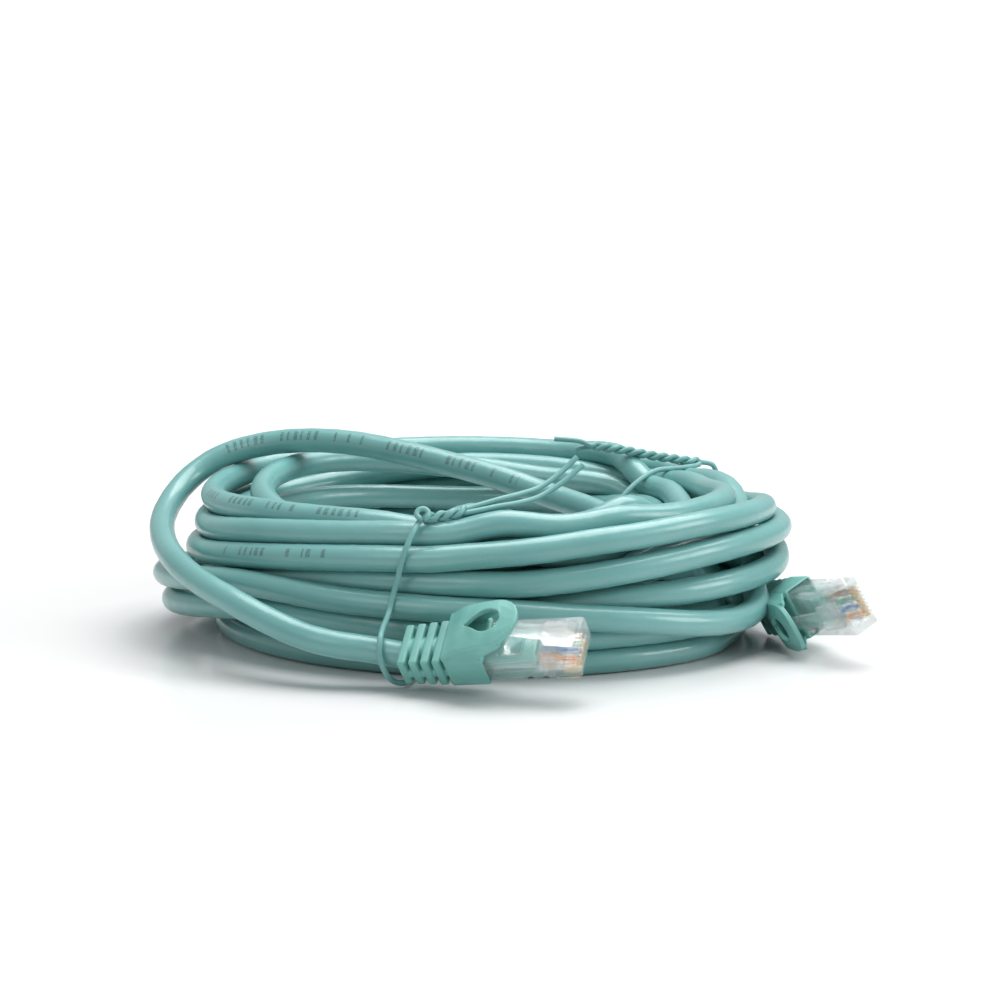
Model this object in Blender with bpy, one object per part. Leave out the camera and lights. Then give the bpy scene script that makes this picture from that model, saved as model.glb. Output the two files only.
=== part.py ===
"""Ethernet patch cable: a round cable wound in an oval coil, two wire ties, and a snagless 8P8C plug at each end.

Metres, +Z up. The coil lies on z = 0, with +X to its right, -Y to its front. Each plug is modelled in its own frame:
x runs out of the nose, y across the width and z towards the latch, with the origin at the nose, on the contact side.
"""

from math import atan2, cos, pi, radians, sin

import bmesh
import bpy
from mathutils import Euler, Matrix, Vector

MM = 0.001

# Cable
CABLE_D = 6.1 * MM
FIT = 0.3 * MM  # gap between pieces that touch
SLIP = 0.15 * MM  # gap on each side of a piece that slides into another

# Plug body, in the plug's frame
PLUG_L = 21.46 * MM
PLUG_W = 11.68 * MM
PLUG_H = 6.60 * MM
NOSE_CHAMFER = 0.5 * MM
CONTACTS = 8
PITCH = 1.02 * MM
CONTACT_T = 0.35 * MM
CONTACT_H = 1.15 * MM
CONTACT_L = 3.85 * MM
CONTACT_SETBACK = 0.45 * MM
CONTACT_RECESS = 0.5 * MM
SLOT_W = 0.54 * MM
COMB_L = 5.2 * MM
COMB_STEP = 0.5 * MM
WIRE_D = 0.88 * MM
WIRE_Z = 2.5 * MM
WIRE_ROW = 1.15 * MM  # how much higher every second wire runs in the load bar
WIRE_START = 9.3 * MM
WIRE_END = 1.3 * MM
BAR_FRONT = 5.6 * MM
BAR_L = 3.0 * MM
JACKET_FRONT = 10.0 * MM
JACKET_W = 7.8 * MM
JACKET_H = 4.0 * MM
JACKET_Z = 3.55 * MM
CAVITY_WALL = 0.55 * MM
CLAMP_X = 12.9 * MM
CLAMP_L = 4.0 * MM
CLAMP_T = 0.7 * MM
NOTCH_X = (7.5 * MM, 11.0 * MM)
NOTCH_W = 1.3 * MM

# Latch
LATCH_ANGLE = radians(12)
LATCH_AXIS_X = 1.5 * MM
LATCH_AXIS_RISE = 0.85 * MM
LATCH_T = 1.0 * MM
LATCH_W = 6.2 * MM
LATCH_SHOULDER = 6.2 * MM
LATCH_TAIL_W = 3.3 * MM
LATCH_TAIL_END = 17.2 * MM

# Boot
BOOT_W = 12.9 * MM
BOOT_SHELL_L = 9.2 * MM
BOOT_LAP = 0.8 * MM  # how far the boot's front edge covers the plug's rear
RIBS = 4
RIB_T = 1.6 * MM
RIB_SLOT = 1.15 * MM
RIB_TAPER = 0.93
RIB_W = BOOT_W - 0.7 * MM
SPINE_H = 1.7 * MM
BORE_WALL = 0.75 * MM
BOOT_H = CABLE_D + 2 * SLIP + 2 * BORE_WALL + 0.2 * MM
RIB_H = BOOT_H - 0.3 * MM

# Hood over the latch
HOOD_T = 1.25 * MM
HOOD_W = 12.9 * MM
HOOD_TIP_X = 12.1 * MM
HOOD_RISE = (0.0, 0.58, 0.85, 0.97, 1.0)  # share of the full rise, at even steps to the tip
HOOD_HEIGHT = 4.6 * MM
HOOD_STEPS = 12
HOLE_W = 4.6 * MM
HOLE_L = 7.6 * MM
HOLE_FRONT = 5.2 * MM  # from the tip to the hole

# Where each plug lies: degrees round the coil to the point of its outer edge that it is measured from, how far from
# there the middle of its boot's rear end is, in mm, and its turn about X, then Y, then Z
PLUG_A = (-100, (3.12, -10.40, 8.07), (37.7, -6.5, -18.4))
PLUG_B = (15, (-4.44, -13.91, 6.58), (117.2, -10.9, -66.2))

# Coil
COIL_AT = Vector((-32.5, 25.0, 0)) * MM
COIL_TURN = radians(-8)
COIL_A = 73.0 * MM  # outer half width
COIL_B = 60.0 * MM  # outer half depth
COIL_BAND = 17.0 * MM
COIL_H = 34.5 * MM
COIL_STEPS = 72
COIL_FOOT_IN = 6.0 * MM  # how far the lowest turns lie inside the widest ones
COIL_FOOT_H = 11.0 * MM

# Ties
TIE_D = 1.3 * MM
TIE_TURN = 6.4 * MM  # length of one full turn of the twist

# The route of lead A, after it leaves its boot: along the coil's front, up round the left end, and across the top
LEAD_A_ROUTE = [
    (-58.1, -39.9, 8.8),
    (-65.5, -39.3, 9.7),
    (-73.0, -36.5, 11.0),
    (-81.5, -31.5, 13.6),
    (-90.2, -24.5, 16.7),
    (-98.0, -15, 19),
    (-104.6, -3, 21.2),
    (-109.3, 11, 23.5),
    (-111.7, 26, 26),
    (-110.9, 38, 29.3),
    (-107.3, 46.5, 33.6),
    (-100.1, 50.5, 38.3),
    (-89.9, 50.5, 41.5),
    (-78.5, 46.5, 43.2),
    (-66.5, 40.8, 43.4),
    (-54.1, 34, 42.1),
    (-41.7, 27, 40.1),
    (-29.5, 19, 37.9),
    (-18.8, 11, 35.3),
    (-10.0, 2.5, 33.6),
    (-4.5, -5, 32.2),
]
LEAD_STEP = 15.0 * MM
LEAD_POINTS = 26

TEAL = (0.155, 0.41, 0.385)
BOOT_TEAL = (0.13, 0.385, 0.345)
CLEAR = (0.86, 0.90, 0.90)
GOLD = (0.83, 0.62, 0.24)
WIRE_COLOURS = [
    (0.85, 0.72, 0.60),
    (0.85, 0.36, 0.08),
    (0.70, 0.82, 0.72),
    (0.10, 0.24, 0.62),
    (0.66, 0.74, 0.86),
    (0.08, 0.42, 0.20),
    (0.74, 0.66, 0.60),
    (0.34, 0.17, 0.08),
]


def clear_scene():
    for obj in list(bpy.data.objects):
        bpy.data.objects.remove(obj, do_unlink=True)


def material(name, colour, roughness=0.5, metallic=0.0, alpha=1.0):
    made = bpy.data.materials.new(name)
    made.use_nodes = True
    shader = made.node_tree.nodes["Principled BSDF"]
    shader.inputs["Base Color"].default_value = (*colour, 1)
    shader.inputs["Roughness"].default_value = roughness
    shader.inputs["Metallic"].default_value = metallic
    shader.inputs["Alpha"].default_value = alpha
    return made


def add_object(name, data, parent=None, mat=None):
    obj = bpy.data.objects.new(name, data)
    bpy.context.scene.collection.objects.link(obj)
    obj.parent = parent
    if mat:
        data.materials.clear()
        data.materials.append(mat)
    return obj


def finish(bm, name, smooth=None):
    """The bmesh as a mesh datablock with its faces pointing out, shaded smooth under the angle given."""
    bmesh.ops.recalc_face_normals(bm, faces=bm.faces)
    mesh = bpy.data.meshes.new(name)
    bm.to_mesh(mesh)
    bm.free()
    if smooth:
        mesh.shade_smooth()
        mesh.set_sharp_from_angle(angle=radians(smooth))
    return mesh


def prism(outline, half, across="y", name="prism"):
    """A closed outline in XZ pushed out to +-half along Y, or one in XY along Z."""
    bm = bmesh.new()
    if across == "y":
        loop = [bm.verts.new((x, -half, z)) for x, z in outline]
        push = Vector((0, 2 * half, 0))
    else:
        loop = [bm.verts.new((x, y, -half)) for x, y in outline]
        push = Vector((0, 0, 2 * half))
    face = bm.faces.new(loop)
    grown = bmesh.ops.extrude_face_region(bm, geom=[face])
    bmesh.ops.translate(bm, vec=push, verts=[v for v in grown["geom"] if isinstance(v, bmesh.types.BMVert)])
    return finish(bm, name)


def block(x0, x1, y0, y1, z0, z1, bevel=0.0, segments=2):
    """A box between two corners, with its long edges rounded if a bevel is given."""
    bm = bmesh.new()
    bmesh.ops.create_cube(bm, size=1)
    size = Vector((x1 - x0, y1 - y0, z1 - z0))
    bmesh.ops.scale(bm, vec=size, verts=bm.verts)
    bmesh.ops.translate(bm, vec=((x0 + x1) / 2, (y0 + y1) / 2, (z0 + z1) / 2), verts=bm.verts)
    if bevel:
        along = [e for e in bm.edges if abs((e.verts[0].co - e.verts[1].co).x) > size.x / 2]
        bmesh.ops.bevel(bm, geom=along, offset=bevel, segments=segments, profile=0.5, affect="EDGES")
    return finish(bm, "block")


def rod(x0, x1, y, z, radius, sides=10):
    """A cylinder along X."""
    bm = bmesh.new()
    turn = Matrix.Rotation(pi / 2, 4, "Y")
    place = Matrix.Translation(((x0 + x1) / 2, y, z)) @ turn
    bmesh.ops.create_cone(
        bm, cap_ends=True, segments=sides, radius1=radius, radius2=radius, depth=x1 - x0, matrix=place
    )
    return finish(bm, "rod")


def combined(base, others, operation, name, smooth=None):
    """The base mesh joined with the others, or cut by them, as one new mesh."""
    body = add_object(name + "_base", base)
    helpers = []
    for i, other in enumerate(others):
        helper = add_object(f"{name}_helper_{i}", other)
        helper.hide_render = True
        helper.display_type = "WIRE"
        helpers.append(helper)
        boolean = body.modifiers.new("boolean", "BOOLEAN")
        boolean.operation = operation
        boolean.solver = "EXACT"
        boolean.object = helper
    graph = bpy.context.evaluated_depsgraph_get()
    graph.update()
    made = bpy.data.meshes.new_from_object(body.evaluated_get(graph))
    made.name = name
    if smooth:
        made.shade_smooth()
        made.set_sharp_from_angle(angle=radians(smooth))
    for helper in [body, *helpers]:
        bpy.data.objects.remove(helper, do_unlink=True)
    return made


def smooth_line(points, count, before=None):
    """Evenly spaced points along a Catmull-Rom curve through the points given, coming from the point before them."""
    fine = []
    ends = [before or 2 * points[0] - points[1], *points, 2 * points[-1] - points[-2]]
    for i in range(len(points) - 1):
        a, b, c, d = ends[i : i + 4]
        for k in range(16):
            t = k / 16
            fine.append(
                0.5 * (2 * b + (c - a) * t + (2 * a - 5 * b + 4 * c - d) * t**2 + (3 * b - a - 3 * c + d) * t**3)
            )
    fine.append(points[-1])
    return evenly(fine, count)


def evenly(fine, count):
    reach = [0.0]
    for a, b in zip(fine, fine[1:]):
        reach.append(reach[-1] + (b - a).length)
    out = []
    i = 0
    for k in range(count):
        want = reach[-1] * k / (count - 1)
        while i < len(fine) - 2 and reach[i + 1] < want:
            i += 1
        span = reach[i + 1] - reach[i]
        out.append(fine[i].lerp(fine[i + 1], (want - reach[i]) / span))
    return out


def tube(name, points, diameter, mat, resolution=2, parent=None):
    """A curve with a round section and filled ends through the points."""
    curve = bpy.data.curves.new(name, "CURVE")
    curve.dimensions = "3D"
    curve.bevel_depth = diameter / 2
    curve.bevel_resolution = resolution
    curve.use_fill_caps = True
    spline = curve.splines.new("POLY")
    spline.points.add(len(points) - 1)
    for target, point in zip(spline.points, points):
        target.co = (*point, 1)
        target.radius = 1
    spline.use_smooth = True
    return add_object(name, curve, parent, mat)


def wire_y(i):
    return (i - (CONTACTS - 1) / 2) * PITCH


def cavity_height():
    return JACKET_H + 2 * FIT


def housing_mesh():
    """The clear plug body: comb slots, wire channel, load bar chamber, cable cavity, clamp window and side notches."""
    c = NOSE_CHAMFER
    outline = [
        (0, c),
        (-c, 0),
        (-COMB_L, 0),
        (-COMB_L - COMB_STEP, COMB_STEP),
        (-PLUG_L, COMB_STEP),
        (-PLUG_L, PLUG_H),
        (-c, PLUG_H),
        (0, PLUG_H - c),
    ]
    base = prism(outline, PLUG_W / 2, name="housing")
    out = 1 * MM  # how far a cutter stands past an open face
    low = JACKET_Z - cavity_height() / 2
    high = JACKET_Z + cavity_height() / 2
    half_wires = wire_y(CONTACTS - 1) + WIRE_D / 2 + FIT
    contact_top = CONTACT_RECESS + CONTACT_H
    cutters = [
        block(
            -PLUG_L - out, -JACKET_FRONT + FIT, -JACKET_W / 2 - FIT, JACKET_W / 2 + FIT, low, high,
            bevel=cavity_height() * 0.35,
        ),
        block(
            -JACKET_FRONT - FIT,
            -BAR_FRONT + 2 * MM,
            -half_wires - FIT,
            half_wires + FIT,
            WIRE_Z - WIRE_D / 2 - 2 * FIT,
            WIRE_Z + WIRE_ROW + WIRE_D / 2 + 2 * FIT,
        ),
        block(
            -BAR_FRONT + 1.5 * MM, -WIRE_END + FIT, -half_wires, half_wires,
            WIRE_Z - WIRE_D / 2 - SLIP, WIRE_Z + WIRE_D / 2 + SLIP,
        ),
        block(
            -CLAMP_X - CLAMP_L - FIT, -CLAMP_X + FIT, -JACKET_W / 2 + SLIP, JACKET_W / 2 - SLIP,
            high - 0.2 * MM, PLUG_H + out,
        ),
    ]
    for i in range(CONTACTS):
        cutters.append(
            block(
                -CONTACT_SETBACK - CONTACT_L - FIT,
                out,
                wire_y(i) - SLOT_W / 2,
                wire_y(i) + SLOT_W / 2,
                -out,
                contact_top + 0.75 * MM,
            )
        )
    for x in NOTCH_X:
        for side in (-1, 1):
            near, far = sorted((side * (PLUG_W / 2 - 0.55 * MM), side * (PLUG_W / 2 + out)))
            cutters.append(block(-x - NOTCH_W, -x, near, far, -out, 2.3 * MM))
    return combined(base, cutters, "DIFFERENCE", "plug_housing")


def contact_mesh():
    """One blade, with two teeth that reach for its wire."""
    front = -CONTACT_SETBACK
    back = front - CONTACT_L
    low = CONTACT_RECESS
    top = low + CONTACT_H
    tooth = WIRE_Z - WIRE_D / 2 - 0.1 * MM
    round_by = 0.45 * MM
    outline = [
        (front, low + round_by),
        (front - 0.15 * MM, low + 0.13 * MM),
        (front - round_by, low),
        (back + round_by, low),
        (back, low + round_by),
        (back, top),
    ]
    for share in (0.72, 0.36):
        middle = front - CONTACT_L * share
        outline += [(middle - 0.35 * MM, top), (middle, tooth), (middle + 0.35 * MM, top)]
    outline.append((front, top))
    return prism(outline, CONTACT_T / 2, name="contact")


def load_bar_mesh():
    """The bar that holds the wires in two rows, with a hole for each."""
    half_wires = wire_y(CONTACTS - 1) + WIRE_D / 2 + FIT
    base = block(
        -BAR_FRONT - BAR_L,
        -BAR_FRONT,
        -half_wires,
        half_wires,
        WIRE_Z - WIRE_D / 2 - FIT,
        WIRE_Z + WIRE_ROW + WIRE_D / 2 + FIT,
    )
    out = 1 * MM
    holes = [
        rod(-BAR_FRONT - BAR_L - out, -BAR_FRONT + out, wire_y(i), wire_z(i), WIRE_D / 2 + 0.08 * MM, 8)
        for i in range(CONTACTS)
    ]
    return combined(base, holes, "DIFFERENCE", "load_bar", 40)


def wire_z(i):
    return WIRE_Z + (WIRE_ROW if i % 2 else 0)


def wire_route(i):
    """From the jacket's end, through the load bar, down to its place over the contact."""
    y = wire_y(i)
    bend = BAR_FRONT - 1.6 * MM
    points = [
        (-WIRE_START, wire_z(i)),
        (-BAR_FRONT - BAR_L, wire_z(i)),
        (-BAR_FRONT, wire_z(i)),
        (-(BAR_FRONT * 2 + bend) / 3, wire_z(i) - (wire_z(i) - WIRE_Z) * 0.26),
        (-(BAR_FRONT + bend * 2) / 3, wire_z(i) - (wire_z(i) - WIRE_Z) * 0.74),
        (-bend, WIRE_Z),
        (-WIRE_END, WIRE_Z),
    ]
    return [Vector((x, y, z)) for x, z in points]


def jacket_end_mesh():
    """The cable's jacket inside the plug: round behind the plug and pressed flat inside it."""
    sides = 20
    round_x = PLUG_L + 4.4 * MM
    flat_x = PLUG_L - 0.4 * MM
    stations = [
        (-round_x, CABLE_D / 2, CABLE_D / 2),
        (-round_x + 1.2 * MM, CABLE_D / 2, CABLE_D / 2),
        (-(round_x + flat_x) / 2, (CABLE_D + JACKET_W) / 4, (CABLE_D + JACKET_H) / 4),
        (-flat_x, JACKET_W / 2, JACKET_H / 2),
        (-JACKET_FRONT - 0.4 * MM, JACKET_W / 2, JACKET_H / 2),
        (-JACKET_FRONT, JACKET_W / 2 - 0.4 * MM, JACKET_H / 2 - 0.4 * MM),
    ]
    bm = bmesh.new()
    loops = []
    for x, half_y, half_z in stations:
        ring = []
        for k in range(sides):
            a = 2 * pi * k / sides
            ring.append(bm.verts.new((x, half_y * cos(a), JACKET_Z + half_z * sin(a))))
        loops.append(ring)
    for a, b in zip(loops, loops[1:]):
        for k in range(sides):
            bm.faces.new((a[k], a[(k + 1) % sides], b[(k + 1) % sides], b[k]))
    bm.faces.new(loops[0])
    bm.faces.new(loops[-1])
    return finish(bm, "jacket_end", 40)


def clamp_mesh():
    """The wedge pressed in over the jacket from the latch side."""
    low = JACKET_Z + JACKET_H / 2 + SLIP
    top = min(low + CLAMP_T, PLUG_H - 0.1 * MM)
    outline = [
        (-CLAMP_X - CLAMP_L, top),
        (-CLAMP_X - CLAMP_L * 0.75, low),
        (-CLAMP_X - 0.3 * MM, low),
        (-CLAMP_X, top),
    ]
    return prism(outline, JACKET_W / 2 - SLIP - FIT, name="clamp")


def latch_mesh():
    """The latch as a flat plan pushed out to its thickness, in a frame whose origin is the latch's axis."""
    half = LATCH_W / 2
    tail = LATCH_TAIL_W / 2
    front = 0.6 * MM
    outline = [
        (front, -half + 0.4 * MM),
        (front, half - 0.4 * MM),
        (front - 0.4 * MM, half),
        (-LATCH_SHOULDER + 0.3 * MM, half),
        (-LATCH_SHOULDER, half - 0.3 * MM),
        (-LATCH_SHOULDER, tail + 0.5 * MM),
        (-LATCH_SHOULDER - 0.5 * MM, tail),
        (-LATCH_TAIL_END + 0.8 * MM, tail),
        (-LATCH_TAIL_END, tail - 0.8 * MM),
        (-LATCH_TAIL_END, -tail + 0.8 * MM),
        (-LATCH_TAIL_END + 0.8 * MM, -tail),
        (-LATCH_SHOULDER - 0.5 * MM, -tail),
        (-LATCH_SHOULDER, -tail - 0.5 * MM),
        (-LATCH_SHOULDER, -half + 0.3 * MM),
        (-LATCH_SHOULDER + 0.3 * MM, -half),
        (front - 0.4 * MM, -half),
    ]
    mesh = prism(outline, LATCH_T / 2, across="z", name="latch")
    mesh.transform(Matrix.Rotation(LATCH_ANGLE, 4, "Y"))
    return mesh


def shell_front():
    return PLUG_L - BOOT_LAP


def shell_rear():
    return shell_front() + BOOT_SHELL_L


def boot_rear():
    return shell_rear() + RIBS * (RIB_T + RIB_SLOT)


def boot_middle():
    """The height of the boot's middle, which is the cable's."""
    return JACKET_Z


def boot_top():
    return boot_middle() + BOOT_H / 2


def boot_mesh():
    """The boot: a shell round the plug's rear, then a bored core with ribs and two side spines."""
    mid = boot_middle()
    core = CABLE_D / 2 + SLIP + BORE_WALL
    shell = block(
        -shell_rear(), -shell_front(), -BOOT_W / 2, BOOT_W / 2, mid - BOOT_H / 2, boot_top(), bevel=0.7 * MM
    )
    added = [rod(-boot_rear(), -shell_rear() + 1 * MM, 0, mid, core, 20)]
    for i in range(RIBS):
        taper = RIB_TAPER ** (i / (RIBS - 1)) if RIBS > 1 else 1
        front = shell_rear() + RIB_SLOT + i * (RIB_T + RIB_SLOT)
        half_w = RIB_W / 2 * taper
        half_h = RIB_H / 2 * taper
        added.append(
            block(-front - RIB_T, -front, -half_w, half_w, mid - half_h, mid + half_h, bevel=0.9 * MM)
        )
    spine_half = RIB_W / 2 * RIB_TAPER - 0.25 * MM
    added.append(
        block(
            -boot_rear() + RIB_T / 2, -shell_rear() + 0.5 * MM, -spine_half, spine_half,
            mid - SPINE_H / 2, mid + SPINE_H / 2,
        )
    )
    solid = combined(shell, added, "UNION", "boot_solid")
    out = 1 * MM
    pocket_rear = PLUG_L + 3.4 * MM
    cutters = [
        rod(-boot_rear() - out, -pocket_rear + out, 0, mid, CABLE_D / 2 + SLIP, 20),
        block(
            -pocket_rear, -shell_front() + out, -PLUG_W / 2 - SLIP, PLUG_W / 2 + SLIP,
            COMB_STEP - SLIP, PLUG_H + SLIP,
        ),
    ]
    return combined(solid, cutters, "DIFFERENCE", "boot", 30)


def hood_height(share):
    """The hood's rise above its root, at a share of its length."""
    steps = len(HOOD_RISE) - 1
    i = min(int(share * steps), steps - 1)
    part = share * steps - i
    part = part * part * (3 - 2 * part) * 0.35 + part * 0.65
    return HOOD_HEIGHT * (HOOD_RISE[i] + (HOOD_RISE[i + 1] - HOOD_RISE[i]) * part)


def hood_length():
    return shell_rear() - HOOD_TIP_X


def hood_outline():
    """Half of the hood's plan, from its root to its rounded tip, as (x from the root, half width)."""
    radius = HOOD_W / 2
    straight = hood_length() - radius
    points = [(straight * i / HOOD_STEPS, radius) for i in range(HOOD_STEPS + 1)]
    arc = HOOD_STEPS // 2 + 1
    points += [(straight + radius * sin(pi / 2 * i / arc), radius * cos(pi / 2 * i / arc)) for i in range(1, arc)]
    return points + [(hood_length() - 0.02 * MM, 0.6 * MM)]


def hood_mesh():
    """The hood over the latch: a plate that rises from the boot's top, round at its tip, with a drop-shaped hole.

    Its origin is the middle of its root.
    """
    bm = bmesh.new()
    rows = []
    for x, half in hood_outline():
        z = hood_height(x / hood_length())
        rows.append([bm.verts.new((x, y, z)) for y in (-half, -half / 3, half / 3, half)])
    for a, b in zip(rows, rows[1:]):
        for k in range(3):
            bm.faces.new((a[k], a[k + 1], b[k + 1], b[k]))
    grown = bmesh.ops.extrude_face_region(bm, geom=bm.faces[:])
    up = [v for v in grown["geom"] if isinstance(v, bmesh.types.BMVert)]
    bmesh.ops.translate(bm, vec=(0, 0, HOOD_T), verts=up)
    plate = finish(bm, "hood_plate")
    front = hood_length() - HOLE_FRONT
    radius = HOLE_W / 2
    outline = [(front - HOLE_L, 0.0)]
    steps = 10
    for i in range(steps + 1):
        a = -pi * 0.58 + 2 * pi * 0.58 * i / steps
        outline.append((front - radius + radius * cos(a), radius * sin(a)))
    cutter = prism(outline, 12 * MM, across="z", name="hole")
    return combined(plate, [cutter], "DIFFERENCE", "hood", 35)


def plug_matrix(place):
    """A plug's frame, from where its boot's rear end lies."""
    degrees, away, turn = place
    rear = coil_point(radians(degrees), 1, 0) + Vector(away) * MM
    rotation = Euler([radians(a) for a in turn]).to_matrix()
    nose = rear + rotation @ Vector((boot_rear(), 0, -boot_middle()))
    return Matrix.Translation(nose) @ rotation.to_4x4()


def add_plug(letter, place, meshes, mats):
    frame = add_object(f"plug_{letter}_frame", None)
    frame.matrix_world = plug_matrix(place)
    plug = f"plug_{letter}_"
    add_object(plug + "housing", meshes["housing"].copy(), frame, mats["clear"])
    add_object(plug + "load_bar", meshes["load_bar"].copy(), frame, mats["bar"])
    add_object(plug + "jacket_clamp", meshes["clamp"].copy(), frame, mats["clear"])
    for i in range(CONTACTS):
        contact = add_object(f"{plug}contact_{i + 1}", meshes["contact"].copy(), frame, mats["gold"])
        contact.location.y = wire_y(i)
        tube(f"{plug}conductor_{i + 1}", wire_route(i), WIRE_D, mats["wires"][i], 1, frame)
    latch = add_object(plug + "latch", meshes["latch"].copy(), frame, mats["clear"])
    latch.location = (-LATCH_AXIS_X, 0, PLUG_H + LATCH_AXIS_RISE)
    add_object(f"cable_end_{letter}", meshes["jacket_end"].copy(), frame, mats["jacket"])
    add_object(f"boot_{letter}", meshes["boot"].copy(), frame, mats["boot"])
    hood = add_object(f"boot_{letter}_hood", meshes["hood"].copy(), frame, mats["boot"])
    hood.location = (-shell_rear(), 0, boot_top() + FIT)


def coil_section():
    """The coil's section, as (share of the band from its inner edge, height), going round."""
    r = 4.5 * MM
    band = COIL_BAND
    foot = 1 - COIL_FOOT_IN / band
    return [
        (0.0, r * 0.6),
        (r * 0.6 / band, 0.0),
        (foot - r * 0.5 / band, 0.0),
        (foot, r * 0.5),
        (foot, COIL_FOOT_H - r * 0.3),
        (1.0, COIL_FOOT_H + r * 0.7),
        (1.0, COIL_H - r),
        (1 - r / band, COIL_H),
        (r / band, COIL_H),
        (0.0, COIL_H - r),
    ]


def coil_point(angle, share, height):
    inner_a = COIL_A - COIL_BAND
    inner_b = COIL_B - COIL_BAND
    x = (inner_a + COIL_BAND * share) * cos(angle)
    y = (inner_b + COIL_BAND * share) * sin(angle)
    return COIL_AT + Matrix.Rotation(COIL_TURN, 3, "Z") @ Vector((x, y, height))


def coil_mesh():
    """The wound turns as one oval ring, with the hollow that boot B lies in and a groove under it for each tie."""
    bm = bmesh.new()
    section = coil_section()
    loops = []
    for i in range(COIL_STEPS):
        angle = 2 * pi * i / COIL_STEPS
        loops.append([bm.verts.new(coil_point(angle, share, z)) for share, z in section])
    count = len(section)
    for i in range(COIL_STEPS):
        a, b = loops[i], loops[(i + 1) % COIL_STEPS]
        for k in range(count):
            bm.faces.new((a[k], a[(k + 1) % count], b[(k + 1) % count], b[k]))
    ring = finish(bm, "ring")
    room = block(
        -lead_b_end(), 1 * MM, -BOOT_W / 2 - FIT, BOOT_W / 2 + FIT,
        boot_middle() - BOOT_H / 2 - 1.2 * MM, boot_top() + 1.2 * MM,
    )
    hood_room = block(
        -shell_rear() - FIT, -HOOD_TIP_X + 1 * MM, -HOOD_W / 2 - 2 * FIT, HOOD_W / 2 + 2 * FIT,
        boot_top(), boot_top() + HOOD_HEIGHT + HOOD_T + 3 * FIT,
    )
    cutters = [room, hood_room]
    for cutter in cutters:
        cutter.transform(plug_matrix(PLUG_B))
    for angle in (FRONT_TIE_ANGLE, BACK_TIE_ANGLE):
        half = TIE_D / 2 + FIT
        groove = block(-10 * MM, COIL_BAND + 10 * MM, -half, half, -2 * MM, TIE_D + 2 * FIT)
        inner = coil_point(angle, 0, 0)
        outer = coil_point(angle, 1, 0)
        way = outer - inner
        groove.transform(Matrix.Translation(inner) @ Matrix.Rotation(atan2(way.y, way.x), 4, "Z"))
        cutters.append(groove)
    return combined(ring, cutters, "DIFFERENCE", "cable_coil", 40)


def lead_b_end():
    """How far behind plug B's nose its lead goes into the coil."""
    return boot_rear() + LEAD_STEP


def lead_a_points():
    """Lead A: straight in the boot, then along its route."""
    frame = plug_matrix(PLUG_A)
    start = frame @ Vector((-PLUG_L - 4.4 * MM - FIT, 0, JACKET_Z))
    out = frame @ Vector((-boot_rear() - 1 * MM, 0, JACKET_Z))
    route = [out] + [Vector(p) * MM for p in LEAD_A_ROUTE]
    return [start, start.lerp(out, 0.5)] + smooth_line(route, LEAD_POINTS, before=start)


def lead_b_points():
    """Lead B: straight out of its boot, into the coil."""
    frame = plug_matrix(PLUG_B)
    ends = (PLUG_L + 4.4 * MM + FIT, lead_b_end() - FIT)
    return [frame @ Vector((-(ends[0] + (ends[1] - ends[0]) * i / 4), 0, JACKET_Z)) for i in range(5)]


# Each tie's loop round the coil, as (degrees round the coil, share of the band outwards, level, mm above that level):
# level 0 is the floor and 1 the top of the coil. It starts and ends at the knot.
FRONT_TIE_LOOP = [
    (-95.5, 0.55, 1, 1.0),
    (-95.5, 0.25, 1, 1.0),
    (-96, 0.02, 1, -0.8),
    (-96, -0.08, 1, -5.0),
    (-96, -0.08, 1, -14.0),
    (-96, -0.1, 0, 9.0),
    (-96, -0.1, 0, 3.2),
    (-96, 0.0, 0, 1.15),
    (-96, 0.25, 0, 1.0),
    (-96, 0.7, 0, 1.0),
    (-96.2, 1.32, 0, 1.0),
    (-97.4, 1.58, 0, 2.0),
    (-98.2, 1.74, 0, 4.6),
    (-98.9, 1.78, 0, 8.5),
    (-99.1, 1.7, 0, 11.9),
    (-99.6, 1.47, 0, 13.6),
    (-100, 1.19, 0, 15.6),
    (-99.7, 1.1, 0, 19.0),
    (-98.8, 1.08, 0, 23.1),
    (-98.1, 1.08, 1, -7.5),
    (-97.2, 1.07, 1, -4.0),
    (-96.4, 0.97, 1, -0.8),
    (-95.9, 0.84, 1, 0.9),
]
BACK_TIE_LOOP = [
    (43.7, 0.6, 1, 1.1),
    (43.5, 0.35, 1, 1.0),
    (43.5, 0.1, 1, 1.1),
    (43.5, -0.18, 1, 0.9),
    (43, -0.49, 1, -0.9),
    (42.5, -0.8, 1, -4.3),
    (42, -0.96, 1, -8.0),
    (42, -1.04, 1, -14.0),
    (42, -1.06, 0, 9.0),
    (42, -1.02, 0, 3.2),
    (42, -0.85, 0, 1.1),
    (42, -0.4, 0, 1.0),
    (42, 0.1, 0, 1.0),
    (42, 0.6, 0, 1.0),
    (42.5, 1.0, 0, 2.6),
    (43, 1.1, 0, 7.0),
    (43.5, 1.1, 0, 14.0),
    (43.7, 1.09, 1, -12.0),
    (43.7, 1.08, 1, -5.0),
    (43.9, 1.03, 1, -1.4),
    (44.0, 0.94, 1, 0.9),
]
FRONT_TIE_ANGLE = radians(-96)
BACK_TIE_ANGLE = radians(42)
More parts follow.
